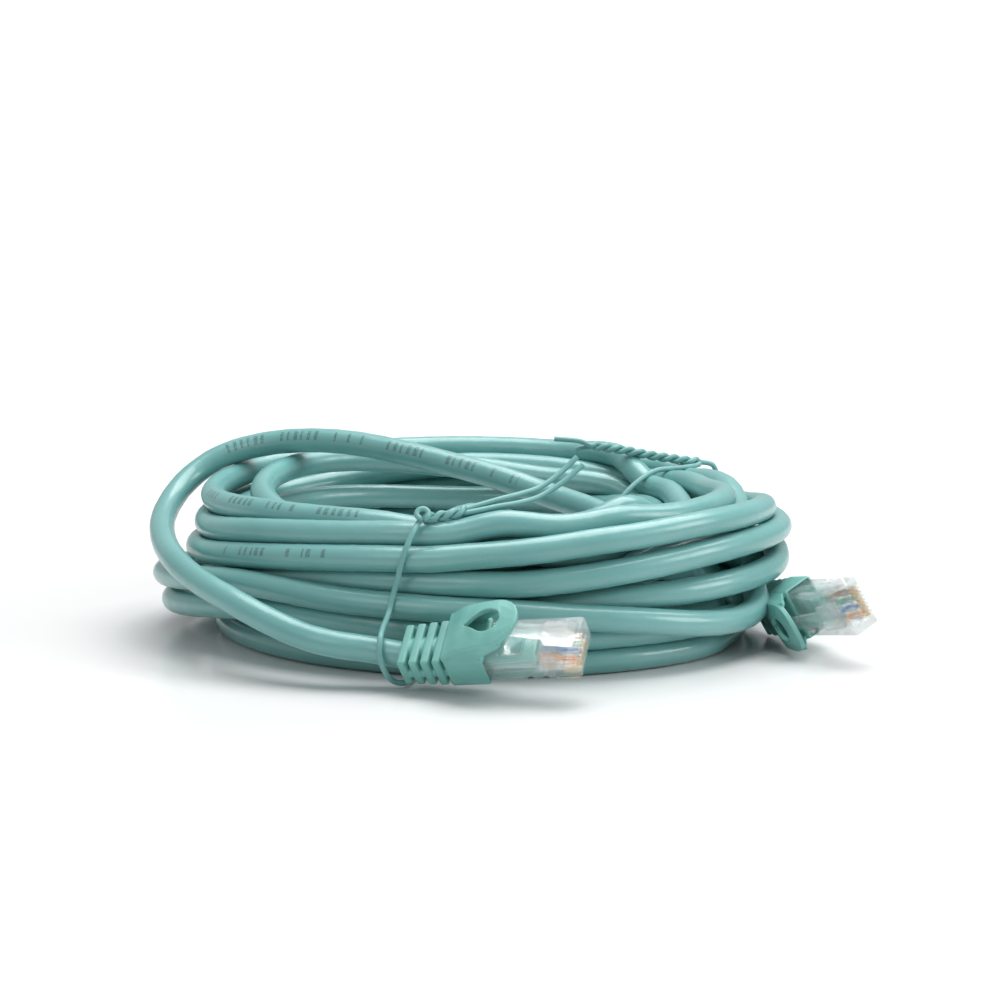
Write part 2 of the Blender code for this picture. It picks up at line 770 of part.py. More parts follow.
# From the knot, in mm: the middle of the twisted length, and the two ends that stand free beyond it
FRONT_TIE_TWIST = [(1.0, 1.5, 0.8), (4.5, 2.9, 1.0), (8.0, 3.4, 1.5), (11.3, 5.4, 2.3)]
FRONT_TIE_ENDS = [
    [(18.1, 9.4, 3.8), (22.7, 12.4, 4.5), (27.2, 15.4, 5.6), (31.8, 18.4, 8.4), (35.7, 20.4, 11.8)],
    [(17.6, 7.6, 2.4), (22.4, 10.4, 2.8), (27.4, 14.0, 3.8), (32.8, 17.2, 6.8), (37.0, 19.4, 10.1)],
]
BACK_TIE_TWIST = [(-2.9, -1.8, 0.8), (-8.3, -3.4, 1.7), (-16.0, -4.4, 3.0), (-23.6, -5.4, 4.6), (-31.2, -6.4, 5.8)]
BACK_TIE_ENDS = [
    [(-34.1, -7.2, 7.0), (-40.3, -7.4, 7.6)],
    [(-33.1, -6.0, 5.2), (-34.9, -6.2, 4.6)],
]


def tie_points(loop, twist, ends):
    """One wire: from its first free end back along the twist, round the loop, and out along the twist again."""
    route = [coil_point(radians(angle), share, level * COIL_H + rise * MM) for angle, share, level, rise in loop]
    knot = route[-1]
    line = smooth_line([knot + Vector(p) * MM for p in twist], 40)
    length = sum((b - a).length for a, b in zip(line, line[1:]))
    turns = max(1, round(length / TIE_TURN))
    radius = TIE_D / 2 + 0.06 * MM
    count = turns * 7
    middle = evenly(line, count + 1)
    strands = []
    for phase in (pi, 0):
        strand = []
        for i, point in enumerate(middle):
            along = (middle[min(i + 1, count)] - middle[max(i - 1, 0)]).normalized()
            side = along.cross(Vector((0, 0, 1))).normalized()
            rise = side.cross(along)
            a = phase + 2 * pi * turns * i / count
            strand.append(point + radius * (cos(a) * side + sin(a) * rise))
        strands.append(strand)
    first, second = ([knot + Vector(p) * MM for p in end] for end in ends)
    return first[::-1] + strands[0][::-1] + smooth_line(route, 40) + strands[1] + second


def main():
    clear_scene()
    mats = {
        "jacket": material("cable_pvc", TEAL, 0.42),
        "boot": material("boot_pvc", BOOT_TEAL, 0.5),
        "tie": material("tie_pvc", TEAL, 0.45),
        "clear": material("clear_plastic", CLEAR, 0.08, alpha=0.35),
        "bar": material("load_bar_plastic", CLEAR, 0.25, alpha=0.6),
        "gold": material("gold_plate", GOLD, 0.22, 1.0),
        "wires": [material(f"wire_{i + 1}", c, 0.45) for i, c in enumerate(WIRE_COLOURS)],
    }
    meshes = {
        "housing": housing_mesh(),
        "contact": contact_mesh(),
        "load_bar": load_bar_mesh(),
        "clamp": clamp_mesh(),
        "latch": latch_mesh(),
        "jacket_end": jacket_end_mesh(),
        "boot": boot_mesh(),
        "hood": hood_mesh(),
    }
    add_plug("a", PLUG_A, meshes, mats)
    add_plug("b", PLUG_B, meshes, mats)
    add_object("cable_coil", coil_mesh(), None, mats["jacket"])
    tube("cable_lead_a", lead_a_points(), CABLE_D, mats["jacket"])
    tube("cable_lead_b", lead_b_points(), CABLE_D, mats["jacket"])
    tube("twist_tie_front", tie_points(FRONT_TIE_LOOP, FRONT_TIE_TWIST, FRONT_TIE_ENDS), TIE_D, mats["tie"])
    tube("twist_tie_back", tie_points(BACK_TIE_LOOP, BACK_TIE_TWIST, BACK_TIE_ENDS), TIE_D, mats["tie"])


main()
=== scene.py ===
from math import cos, pi, radians, sin

import bpy
import numpy as np
from mathutils import Euler, Matrix, Vector


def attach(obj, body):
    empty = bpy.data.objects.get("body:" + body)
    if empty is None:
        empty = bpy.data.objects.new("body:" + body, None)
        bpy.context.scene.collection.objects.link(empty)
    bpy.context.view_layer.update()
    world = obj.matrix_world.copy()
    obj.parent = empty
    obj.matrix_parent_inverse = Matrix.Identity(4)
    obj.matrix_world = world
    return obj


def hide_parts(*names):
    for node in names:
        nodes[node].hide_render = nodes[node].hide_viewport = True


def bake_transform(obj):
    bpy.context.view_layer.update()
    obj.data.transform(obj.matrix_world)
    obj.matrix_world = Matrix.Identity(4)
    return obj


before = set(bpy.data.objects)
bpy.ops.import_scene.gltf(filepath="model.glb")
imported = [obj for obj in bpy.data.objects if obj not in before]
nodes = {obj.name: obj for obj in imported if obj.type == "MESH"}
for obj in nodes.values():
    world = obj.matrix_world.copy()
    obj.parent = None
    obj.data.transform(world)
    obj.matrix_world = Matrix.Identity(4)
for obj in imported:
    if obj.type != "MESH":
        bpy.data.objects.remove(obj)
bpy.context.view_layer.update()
mm = 0.001
print("frame loaded:", len(nodes), "nodes")


class Val:
    # wraps a socket, so that shader maths reads as sums
    def __init__(self, paint, socket):
        self.paint = paint
        self.socket = socket

    def maths(self, kind, a, b=0.0):
        made = self.paint.node("ShaderNodeMath", {"operation": kind}, {0: a, 1: b})
        return Val(self.paint, made.outputs[0])

    def __add__(self, other):
        return self.maths("ADD", self, other)

    def __radd__(self, other):
        return self.maths("ADD", other, self)

    def __sub__(self, other):
        return self.maths("SUBTRACT", self, other)

    def __rsub__(self, other):
        return self.maths("SUBTRACT", other, self)

    def __mul__(self, other):
        return self.maths("MULTIPLY", self, other)

    def __rmul__(self, other):
        return self.maths("MULTIPLY", other, self)

    def __truediv__(self, other):
        return self.maths("DIVIDE", self, other)

    def __gt__(self, other):
        return self.maths("GREATER_THAN", self, other)

    def __lt__(self, other):
        return self.maths("LESS_THAN", self, other)

    def __mod__(self, other):
        return self.maths("FLOORED_MODULO", self, other)

    def floor(self):
        return self.maths("FLOOR", self)


class Paint:
    # a material, with its fixed values set straight on the shader
    def __init__(self, name, fixed):
        self.mat = bpy.data.materials.new(name)
        self.mat.use_nodes = True
        self.tree = self.mat.node_tree
        self.shader = self.tree.nodes["Principled BSDF"]
        for socket, value in fixed.items():
            self.shader.inputs[socket].default_value = value

    def node(self, kind, settings, sockets):
        made = self.tree.nodes.new(kind)
        for key, value in settings.items():
            setattr(made, key, value)
        for key, value in sockets.items():
            if isinstance(value, Val):
                self.tree.links.new(value.socket, made.inputs[key])
            else:
                made.inputs[key].default_value = value
        return made

    def place(self):
        return Val(self, self.node("ShaderNodeTexCoord", {}, {}).outputs["Object"])

    def noise(self, scale, detail=3.0, rough=0.55, stretch=None):
        at = self.place()
        if stretch:
            at = Val(self, self.node("ShaderNodeMapping", {}, {"Vector": at, "Scale": stretch}).outputs[0])
        sockets = {"Vector": at, "Scale": scale, "Detail": detail, "Roughness": rough}
        return Val(self, self.node("ShaderNodeTexNoise", {}, sockets).outputs[0])

    def band(self, value, low, high, fromLow=0.3, fromHigh=0.7):
        sockets = {"Value": value, "From Min": fromLow, "From Max": fromHigh, "To Min": low, "To Max": high}
        return Val(self, self.node("ShaderNodeMapRange", {}, sockets).outputs[0])

    def mix(self, amount, a, b):
        # slots 6 and 7 of a Mix node are its two colours, and output 2 is the mixed one
        made = self.node("ShaderNodeMix", {"data_type": "RGBA"}, {"Factor": amount})
        for slot, value in ((6, a), (7, b)):
            if isinstance(value, Val):
                self.tree.links.new(value.socket, made.inputs[slot])
            else:
                made.inputs[slot].default_value = (*value, 1)
        return Val(self, made.outputs[2])

    def feed(self, socket, value):
        self.tree.links.new(value.socket, self.shader.inputs[socket])

    def bump(self, height, distance, strength=1.0):
        sockets = {"Height": height, "Distance": distance, "Strength": strength}
        self.feed("Normal", Val(self, self.node("ShaderNodeBump", {}, sockets).outputs[0]))


plasticColours = {
    "cable": (0.152, 0.372, 0.360),
    "cableDeep": (0.120, 0.325, 0.315),
    "boot": (0.165, 0.425, 0.385),
    "bootDeep": (0.130, 0.365, 0.330),
    # end and endLitDeep: the boot's teal painted lighter, as painted light that stands in for the light the
    # clear plug body keeps off the jacket end inside it
    "end": (0.270, 0.600, 0.550),
    "endLitDeep": (0.230, 0.540, 0.500),
    "ink": (0.045, 0.095, 0.100),
}


def cableFinish():
    paint = Paint("cablePvc", {"IOR": 1.52, "Coat Roughness": 0.16})
    cloud = paint.noise(38, 3)
    fine = paint.noise(1500, 2)
    skin = paint.noise(260, 3, 0.6)
    tone = paint.mix(paint.band(cloud, 0, 1), plasticColours["cableDeep"], plasticColours["cable"])
    # the printed line: plain upright ticks in groups, on the lengths that have it
    uv = paint.node("ShaderNodeUVMap", {"uv_map": "alongCable"}, {})
    parts = paint.node("ShaderNodeSeparateXYZ", {}, {"Vector": Val(paint, uv.outputs[0])})
    along = Val(paint, parts.outputs[0]) * 1000
    across = Val(paint, parts.outputs[1])
    inRun = None
    for run in printedLine["runs"]:
        mine = (along > run["from"]) * (along < run["to"])
        mine = mine * (across > run["side"] - run["half"]) * (across < run["side"] + run["half"])
        inRun = mine if inRun is None else inRun + mine
    cell = (along / printedLine["pitch"]).floor()
    random = paint.node("ShaderNodeTexWhiteNoise", {"noise_dimensions": "1D"}, {"W": cell})
    chance = Val(paint, random.outputs[0])
    inCell = along % printedLine["pitch"]
    word = (along % printedLine["group"]) < printedLine["groupLength"]
    wide = printedLine["tick"] + printedLine["tickMore"] * chance
    tick = (inCell < wide) * (inCell > printedLine["margin"]) * (chance > printedLine["missing"]) * word
    worn = paint.band(paint.noise(2600, 2), 0.35, 1.0, 0.35, 0.55)
    ink = inRun * tick * worn * printedLine["strength"]
    paint.feed("Base Color", paint.mix(ink, tone, plasticColours["ink"]))
    paint.feed("Roughness", paint.band(skin, 0.26, 0.40) + 0.04 * fine)
    paint.feed("Coat Weight", paint.band(cloud, 0.25, 0.55))
    paint.bump(skin * 0.9 + fine * 0.12, 0.00022, 0.6)
    return paint.mat


def bootFinish(name, deep, light):
    paint = Paint(name, {"IOR": 1.48, "Coat Roughness": 0.35})
    cloud = paint.noise(120, 3)
    grain = paint.noise(4200, 2, 0.6)
    tone = paint.mix(paint.band(cloud, 0, 1), plasticColours[deep], plasticColours[light])
    paint.feed("Base Color", tone)
    paint.feed("Roughness", paint.band(grain, 0.40, 0.52))
    paint.feed("Coat Weight", paint.band(cloud, 0.04, 0.14))
    paint.bump(grain + cloud * 1.5, 0.00004, 0.6)
    return paint.mat


def tieFinish():
    paint = Paint("tiePvc", {"IOR": 1.5})
    cloud = paint.noise(300, 3)
    grain = paint.noise(5200, 2)
    deep = tuple(c * 0.88 for c in plasticColours["cable"])
    paint.feed("Base Color", paint.mix(paint.band(cloud, 0, 1), deep, plasticColours["cable"]))
    paint.feed("Roughness", paint.band(grain, 0.34, 0.46))
    paint.bump(cloud + grain * 0.3, 0.00005, 0.5)
    return paint.mat


def clearFinish(name, colour, low, high):
    fixed = {"Base Color": (*colour, 1), "Transmission Weight": 0.86, "IOR": 1.4, "Alpha": 0.46}
    paint = Paint(name, fixed)
    flow = paint.noise(240, 3, 0.5, stretch=(1, 1, 3))
    haze = paint.noise(1800, 2)
    paint.feed("Roughness", paint.band(haze, low, high))
    paint.bump(flow, 0.00010, 0.35)
    return paint.mat


def goldFinish():
    paint = Paint("goldPlate", {"Metallic": 1.0})
    wear = paint.noise(900, 3)
    lines = paint.noise(3000, 2, 0.6, stretch=(1, 8, 8))
    paint.feed("Base Color", paint.mix(paint.band(wear, 0, 1), (0.80, 0.55, 0.20), (0.94, 0.74, 0.36)))
    paint.feed("Roughness", paint.band(lines, 0.16, 0.34))
    paint.bump(lines, 0.00001, 0.5)
    return paint.mat


def wireFinish(name, colour, stripe=None):
    paint = Paint(name, {"IOR": 1.48})
    cloud = paint.noise(700, 2)
    dull = tuple(c * 0.82 for c in colour)
    tone = paint.mix(paint.band(cloud, 0, 1), dull, colour)
    if stripe:
        sockets = {"Vector": paint.place(), "Scale": 160.0, "Distortion": 1.0}
        bands = paint.node("ShaderNodeTexWave", {"bands_direction": "DIAGONAL"}, sockets)
        tone = paint.mix(Val(paint, bands.outputs[1]) > 0.72, tone, stripe)
    paint.feed("Base Color", tone)
    paint.feed("Roughness", paint.band(cloud, 0.30, 0.42))
    return paint.mat


# painted shade: the floor's colour goes from grey near the coil to white further out, to even out how the
# lamps light it
floorPaintedShade = {"near": (0.73, 0.735, 0.74), "far": (0.96, 0.965, 0.97), "from": 0.12, "to": 0.36}


def floorFinish():
    # the floor's colour is painted greyer in the middle, where the light is strongest, and whiter further
    # out, where the light falls off: painted shade and painted light that even out the lit floor
    paint = Paint("floorGloss", {"IOR": 1.30})
    length = paint.node("ShaderNodeVectorMath", {"operation": "LENGTH"}, {"Vector": paint.place()})
    away = Val(paint, length.outputs["Value"])
    outer = paint.band(away, 0, 1, floorPaintedShade["from"], floorPaintedShade["to"])
    paint.feed("Base Color", paint.mix(outer, floorPaintedShade["near"], floorPaintedShade["far"]))
    drift = paint.noise(3, 2)
    paint.feed("Roughness", paint.band(drift, 0.13, 0.19))
    return paint.mat


# marks on the jacket, by distance along the cable in mm, and where round it they lie
printedLine = {
    "pitch": 1.9,
    "group": 15.2,
    "groupLength": 11.4,
    "tick": 0.5,
    "tickMore": 0.8,
    "margin": 0.12,
    "missing": 0.12,
    "strength": 0.7,
    "runs": [
        {"from": 148.0, "to": 236.0, "side": 0.095, "half": 0.068},
        {"from": 953.0, "to": 1010.0, "side": 0.37, "half": 0.055},
        {"from": 2398.0, "to": 2434.0, "side": 0.42, "half": 0.055},
    ],
}


# the coil and the plugs lie where the frame has them, in mm and degrees
coil = {
    "at": (-32.5, 25.0),
    "turn": -8.0,
    "halfWidth": 73.0,
    "halfDepth": 60.0,
    "band": 17.0,
    "height": 34.5,
}
plugPlaces = {
    "a": {"degrees": -100, "away": (3.12, -10.40, 8.07), "turn": (37.7, -6.5, -18.4)},
    "b": {"degrees": 15, "away": (-4.44, -13.91, 6.58), "turn": (117.2, -10.9, -66.2)},
}
plugSizes = {
    "jacketZ": 3.55,  # the middle of the cable over the plug's underside
    "bootRear": 40.86,  # these are all back from the plug's nose
    "leadStart": 26.16,
    "shellRear": 29.86,
    "shellFront": 20.66,
}


def coilPoint(degrees, share, height):
    a = radians(degrees)
    x = (coil["halfWidth"] - coil["band"] * (1 - share)) * cos(a)
    y = (coil["halfDepth"] - coil["band"] * (1 - share)) * sin(a)
    t = radians(coil["turn"])
    across, back = coil["at"]
    return Vector((across + x * cos(t) - y * sin(t), back + x * sin(t) + y * cos(t), height))


def plugMatrix(letter):
    # the plug's own frame in mm: x out of the nose, z towards the latch
    place = plugPlaces[letter]
    rear = coilPoint(place["degrees"], 1, 0) + Vector(place["away"])
    rotation = Euler([radians(a) for a in place["turn"]]).to_matrix()
    nose = rear + rotation @ Vector((plugSizes["bootRear"], 0, -plugSizes["jacketZ"]))
    return Matrix.Translation(nose) @ rotation.to_4x4()


plugFrames = {letter: plugMatrix(letter) for letter in "ab"}


def throughPoints(points, count):
    # a smooth curve through every point
    p = np.array(points, float)
    q = np.vstack([2 * p[0] - p[1], p, 2 * p[-1] - p[-2]])
    out = []
    for i in range(len(p) - 1):
        a, b, c, d = q[i : i + 4]
        for k in range(count):
            t = k / count
            bend = (2 * a - 5 * b + 4 * c - d) * t**2 + (3 * b - a - 3 * c + d) * t**3
            out.append(0.5 * (2 * b + (c - a) * t + bend))
    return np.vstack([out, p[-1:]])


def evenSteps(line, step):
    lengths = np.linalg.norm(np.diff(line, axis=0), axis=1)
    line = line[np.r_[True, lengths > 1e-6]]
    reach = np.r_[0, np.cumsum(np.linalg.norm(np.diff(line, axis=0), axis=1))]
    count = int(round(reach[-1] / step)) + 1
    want = np.linspace(0, reach[-1], count)
    return np.stack([np.interp(want, reach, line[:, k]) for k in range(3)], 1)


# the two wire ties; a loop's points are degrees round the coil, the share of the way out across its band,
# 1 for its top or 0 for the floor, and mm above that
tie = {"diameter": 1.3, "sides": 14, "lobe": 0, "lay": 1, "twist": 6.4, "step": 0.42, "play": 0.04}
ties = {
    "front": {
        "loop": [
            (-95.5, 0.55, 1, 1.0), (-95.5, 0.25, 1, 1.0), (-96, 0.02, 1, -0.8), (-96, -0.08, 1, -5.0),
            (-96, -0.08, 1, -14.0), (-96, -0.1, 0, 9.0), (-96, -0.1, 0, 3.2), (-96, 0.0, 0, 1.15),
            (-96, 0.25, 0, 1.0), (-96, 0.7, 0, 1.0), (-96.2, 1.32, 0, 1.0), (-97.4, 1.58, 0, 2.0),
            (-98.2, 1.74, 0, 4.6), (-98.9, 1.78, 0, 8.5), (-99.1, 1.7, 0, 11.9), (-99.6, 1.47, 0, 13.6),
            (-100, 1.19, 0, 15.6), (-99.7, 1.1, 0, 19.0), (-98.8, 1.08, 0, 23.1), (-98.1, 1.08, 1, -7.5),
            (-97.2, 1.07, 1, -4.0), (-96.4, 0.97, 1, -0.8), (-95.9, 0.84, 1, 0.9),
        ],
        "twist": [(1.0, 1.5, 0.8), (4.5, 2.9, 1.0), (8.0, 3.4, 1.5), (11.3, 5.4, 2.3)],
        "eye": {"at": (0.9, 0.2, 1.9), "radius": 1.35, "turns": (-110, -170, -230, -290, -350, -410)},
        "ends": [
            [(18.1, 9.4, 3.8), (22.7, 12.4, 4.5), (27.2, 15.4, 5.6), (31.8, 18.4, 8.4), (35.7, 20.4, 11.8)],
            [(17.6, 7.6, 2.4), (22.4, 10.4, 2.8), (27.4, 14.0, 3.8), (32.8, 17.2, 6.8), (37.0, 19.4, 10.1)],
        ],
    },
    "back": {
        "loop": [
            (43.7, 0.6, 1, 1.1), (43.5, 0.35, 1, 1.0), (43.5, 0.1, 1, 1.1), (43.5, -0.18, 1, 0.9),
            (43, -0.49, 1, -0.9), (42.5, -0.8, 1, -4.3), (42, -0.96, 1, -8.0), (42, -1.04, 1, -14.0),
            (42, -1.06, 0, 9.0), (42, -1.02, 0, 3.2), (42, -0.85, 0, 1.1), (42, -0.4, 0, 1.0),
            (42, 0.1, 0, 1.0), (42, 0.6, 0, 1.0), (42.5, 1.0, 0, 2.6), (43, 1.1, 0, 7.0),
            (43.5, 1.1, 0, 14.0), (43.7, 1.09, 1, -12.0), (43.7, 1.08, 1, -5.0), (43.9, 1.03, 1, -1.4),
            (44.0, 0.94, 1, 0.9),
        ],
        "eye": {"at": (0, 0, 0), "radius": 0, "turns": ()},
        "twist": [
            (-2.9, -1.8, 0.8), (-8.3, -3.4, 1.7), (-16.0, -4.4, 3.0), (-23.6, -5.4, 4.6), (-31.2, -6.4, 5.8),
        ],
        "ends": [[(-34.1, -7.2, 7.0), (-40.3, -7.4, 7.6)], [(-33.1, -6.0, 5.2), (-34.9, -6.2, 4.6)]],
    },
}


def tieLine(plan):
    route = [
        np.array(coilPoint(angle, share, level * coil["height"] + rise))
        for angle, share, level, rise in plan["loop"]
    ]
    knot = route[-1]
    pace = 0.5
    middle = evenSteps(throughPoints([knot + np.array(p) for p in plan["twist"]], 16), pace)
    reach = np.arange(len(middle)) * pace
    turns = max(1, round(reach[-1] / tie["twist"]))
    along = np.gradient(middle, axis=0)
    along /= np.linalg.norm(along, axis=1)[:, None]
    side = np.cross(along, np.array((0.0, 0.0, 1.0)))
    side /= np.linalg.norm(side, axis=1)[:, None]
    rise = np.cross(side, along)
    strands = []
    for phase in (pi, 0):
        a = (phase + 2 * pi * turns * reach / reach[-1])[:, None]
        strands.append(middle + (tie["diameter"] / 2 + tie["play"]) * (np.cos(a) * side + np.sin(a) * rise))
    first, second = ([knot + np.array(p) for p in end] for end in plan["ends"])
    eye = []
    for b in np.radians(plan["eye"]["turns"]):
        way = np.array((cos(b), 0.6 * sin(b), 0.8 * sin(b)))  # a small ring that leans back
        eye.append(knot + np.array(plan["eye"]["at"]) + plan["eye"]["radius"] * way)
    line = [*first[::-1], *strands[0][::-1][::3], *route, *eye, *strands[1][::3], *second]
    return evenSteps(throughPoints(line, 8), tie["step"])


cable = {
    "diameter": 6.1,
    "sides": 28,
    "ring": 2.3,  # mm between rings
    "step": 3.0,  # mm between points while it settles
    "lobe": 0.035,  # mm, how far the four twisted pairs show through the jacket
    "lay": 27.0,  # mm along the cable for one turn of the pairs
}
# lead A, from its boot along the coil's front, up round the left end and over the top
leadRoute = [
    (-58.1, -39.9, 8.8), (-65.5, -39.3, 9.7), (-73.0, -36.5, 11.0), (-81.5, -31.5, 13.6),
    (-90.2, -24.5, 16.7), (-98.0, -15, 19), (-104.6, -3, 21.2), (-109.3, 11, 23.5), (-111.7, 26, 26),
    (-110.9, 38, 29.3), (-107.3, 46.5, 33.6), (-100.1, 50.5, 38.3), (-89.9, 50.5, 41.5), (-78.5, 46.5, 43.2),
    (-66.5, 40.8, 43.4), (-54.1, 34, 42.1), (-41.7, 27, 40.1), (-29.5, 19, 37.9), (-18.8, 11, 35.3),
    (-10.0, 2.5, 33.6), (-4.5, -5, 32.2), (-1.0, -14, 30), (-4.5, -22.5, 28.5), (-13.5, -26, 27.5),
    (-25.5, -25, 27.5), (-37.5, -22.5, 28),
]
# each turn of the coil from the front on, every 45 degrees: how far in from the widest oval, and how high
turnOval = {"halfWidth": 70.0, "halfDepth": 57.0, "start": -80.0, "stop": 45.0}
coilTurns = [
    [(13, 29), (15, 34), (15, 36.8), (17, 33.4), (18, 28), (14, 24), (12, 23)],
    [(12, 21.5), (13, 22), (13, 26), (13, 27), (13, 25), (20, 27), (27, 28), (17, 30)],
    [(9, 32.5), (8, 33), (3, 32.3), (1, 35.4), (3, 36.6), (12, 34), (24, 29.5), (16, 27)],
    [(9, 26), (8, 26), (8, 27), (7, 29), (8, 33), (11, 34), (12, 32.5), (8, 34.2)],
    [(5, 32.9), (3, 30.3), (1, 25.5), (0, 27), (0, 31), (6, 31.5), (9, 31.5), (6, 28.5)],
    [(8, 21), (8, 20), (8, 20), (6, 22), (4, 28), (4, 29.5), (5, 30), (1, 33)],
    [(0, 28.7), (0, 24.8), (0, 21), (1, 22), (0, 25.5), (0, 26), (0, 27), (0, 26.4)],
    [(0, 21.5), (3, 20), (3, 16), (2, 17), (1, 20), (0, 20), (0, 19.3), (0, 18.2)],
    [(6, 15.5), (6, 14), (5, 11), (4, 11), (2, 14), (2, 13.5), (5, 11), (0, 9.6)],
    [(-1, 15.8), (-1, 18.8), (-9, 14), (-6, 10), (0, 8), (2, 8), (7, 7.5), (4, 8)],
    [(1, 9.8), (1, 12.5), (-7, 7.5), (-4, 5), (1, 3.1), (3, 3.1), (9, 3.1), (5, 3.1)],
    [(3, 3.1), (4, 3.1), (7, 3.1), (8, 3.1), (8, 6), (9, 9), (12, 9), (9, 9)],
    [(9, 9), (9, 9), (9, 7), (12, 4), (14, 3.2), (13, 3.2)],
]


def inBoot(letter, fromX, toX, count):
    points = []
    for i in range(count):
        x = fromX + (toX - fromX) * i / (count - 1)
        points.append(list(plugFrames[letter] @ Vector((x, 0, plugSizes["jacketZ"]))))
    return points


def cableRoute():
    shift = np.array((*coil["at"], 0.0))
    controls = []
    n = 1
    for turn in coilTurns:
        for inward, height in turn:
            controls.append((n * turnOval["stop"], inward, height))
            n += 1
    table = throughPoints(controls, 6)
    a = np.radians(turnOval["start"] - table[:, 0])
    x = (turnOval["halfWidth"] - table[:, 1]) * np.cos(a)
    y = (turnOval["halfDepth"] - table[:, 1]) * np.sin(a)
    t = radians(coil["turn"])
    wound = np.stack([x * cos(t) - y * sin(t), x * sin(t) + y * cos(t), table[:, 2]], 1) + shift
    front = inBoot("a", -plugSizes["leadStart"], -plugSizes["bootRear"] - 1, 6) + leadRoute
    back = inBoot("b", -plugSizes["bootRear"] - 2, -plugSizes["leadStart"], 6)
    into = [list(coilPoint(42, 0.30, 3.2)), list(plugFrames["b"] @ Vector((-52.0, 1.5, 2.6)))]
    lead = throughPoints(front, 6)[:-1]
    return np.vstack([lead, wound, throughPoints(into + back, 8)])


# how the cable settles, with distances in mm
settle = {
    "rounds": 200,
    "spare": 0.02,  # between two strands
    "look": 2.0,  # strands this much further off are watched for the next rounds
    "watch": 5,  # rounds between two such looks
    "skip": 6,  # points along the strand that don't count as another strand
    "lead": 300.0,  # this much of lead A keeps to its route
    "leadHold": 0.25,  # how far a point goes back to its route in one round
    "coilHold": 0.015,
    "fixedStart": 14,  # points in each boot that never move
    "fixedEnd": 8,
    "push": 0.175,  # the share of their overlap that two strands move apart in one round
    "crowd": 3,  # a point that is pushed from more sides than this moves less
    "stiff": 0.9,
    "bootReach": 10.25,  # a strand's middle stays this far from a boot's
    "bootFrom": -43,
    "bootTo": -8,
    "bootMiddle": 3.6,
    "loose": 60.0,  # a boot doesn't push its own end of the cable
    "share": 0.5,  # of the way out of a boot or a tie's wire that a point goes in one round
    "tieAbove": 33.0,  # only the ties' wires on top of the coil press on it
}


def pressedApart(line, i, j, hold, gap):
    d = line[j] - line[i]
    along = np.gradient(line, axis=0)
    along /= np.linalg.norm(along, axis=1)[:, None]
    run = (d * along[i]).sum(1)
    across = d - run[:, None] * along[i]
    size = np.linalg.norm(across, axis=1)
    near = (size < gap) & (np.abs(run) < cable["step"])
    push = across * (np.where(near, (gap - size) * settle["push"], 0) / np.maximum(size, 0.4))[:, None]
    moved = np.zeros_like(line)
    touching = np.zeros(len(line))
    np.add.at(moved, j, push)
    np.add.at(moved, i, -push)
    np.add.at(touching, i, near * 1.0)
    np.add.at(touching, j, near * 1.0)
    return moved / np.maximum(1, touching / settle["crowd"])[:, None] * (1 - hold)[:, None]


def straightened(line):
    bent = np.zeros_like(line)
    bent[2:-2] = (-line[:-4] + 4 * line[1:-3] - 6 * line[2:-2] + 4 * line[3:-1] - line[4:]) / 16
    return bent * settle["stiff"]


def keptOffBoot(line, letter, free):
    rotation = np.array(plugFrames[letter].to_3x3())
    local = (line - np.array(plugFrames[letter].translation)) @ rotation
    height = local[:, 2] - settle["bootMiddle"]
    reach = np.hypot(local[:, 1], height)
    bad = free & (local[:, 0] < settle["bootTo"]) & (local[:, 0] > settle["bootFrom"])
    bad &= reach < settle["bootReach"]
    out = np.stack([np.zeros(len(line)), local[:, 1], height], 1)
    out *= (np.maximum(settle["bootReach"] - reach, 0) * settle["share"] / np.maximum(reach, 0.1))[:, None]
    line[bad] += (out @ rotation.T)[bad]


def keptUnderTies(line, wires, moves):
    away = line[:, None, :] - wires[None, :, :]
    apart = np.linalg.norm(away, axis=2)
    nearest = apart.argmin(1)
    rows = np.arange(len(line))
    short = np.maximum((cable["diameter"] + tie["diameter"]) / 2 - apart[rows, nearest], 0)
    push = away[rows, nearest] / np.maximum(apart[rows, nearest], 0.3)[:, None]
    push[:, 2] = -np.abs(push[:, 2]) - 0.3
    return push * (short * settle["share"] * moves)[:, None]


def relaxed(line):
    # strands that lie too close push each other apart while the line stays smooth and near its route
    gap = cable["diameter"] + settle["spare"]
    home = line.copy()
    far = np.arange(len(line)) * cable["step"]
    hold = np.where(far < settle["lead"], settle["leadHold"], settle["coilHold"])
    hold[: settle["fixedStart"]] = 1
    hold[-settle["fixedEnd"] :] = 1
    free = (far > settle["loose"]) & (far < far[-1] - settle["loose"])
    wires = np.vstack([tieLine(plan)[::2] for plan in ties.values()])
    wires = wires[wires[:, 2] > settle["tieAbove"]]
    for rounds in range(settle["rounds"]):
        if rounds % settle["watch"] == 0:
            apart = ((line[:, None, :] - line[None, :, :]) ** 2).sum(2)
            i, j = np.nonzero(np.triu(apart < (gap + settle["look"]) ** 2, settle["skip"]))
        line += pressedApart(line, i, j, hold, gap)
        line += straightened(line) * (hold < 1)[:, None]
        line += (home - line) * hold[:, None]
        for letter in "ab":
            keptOffBoot(line, letter, free)
        if rounds % 2 == 0:
            line += keptUnderTies(line, wires, hold < 1)
        line[:, 2] = np.maximum(line[:, 2], cable["diameter"] / 2 + 0.01)
    return line


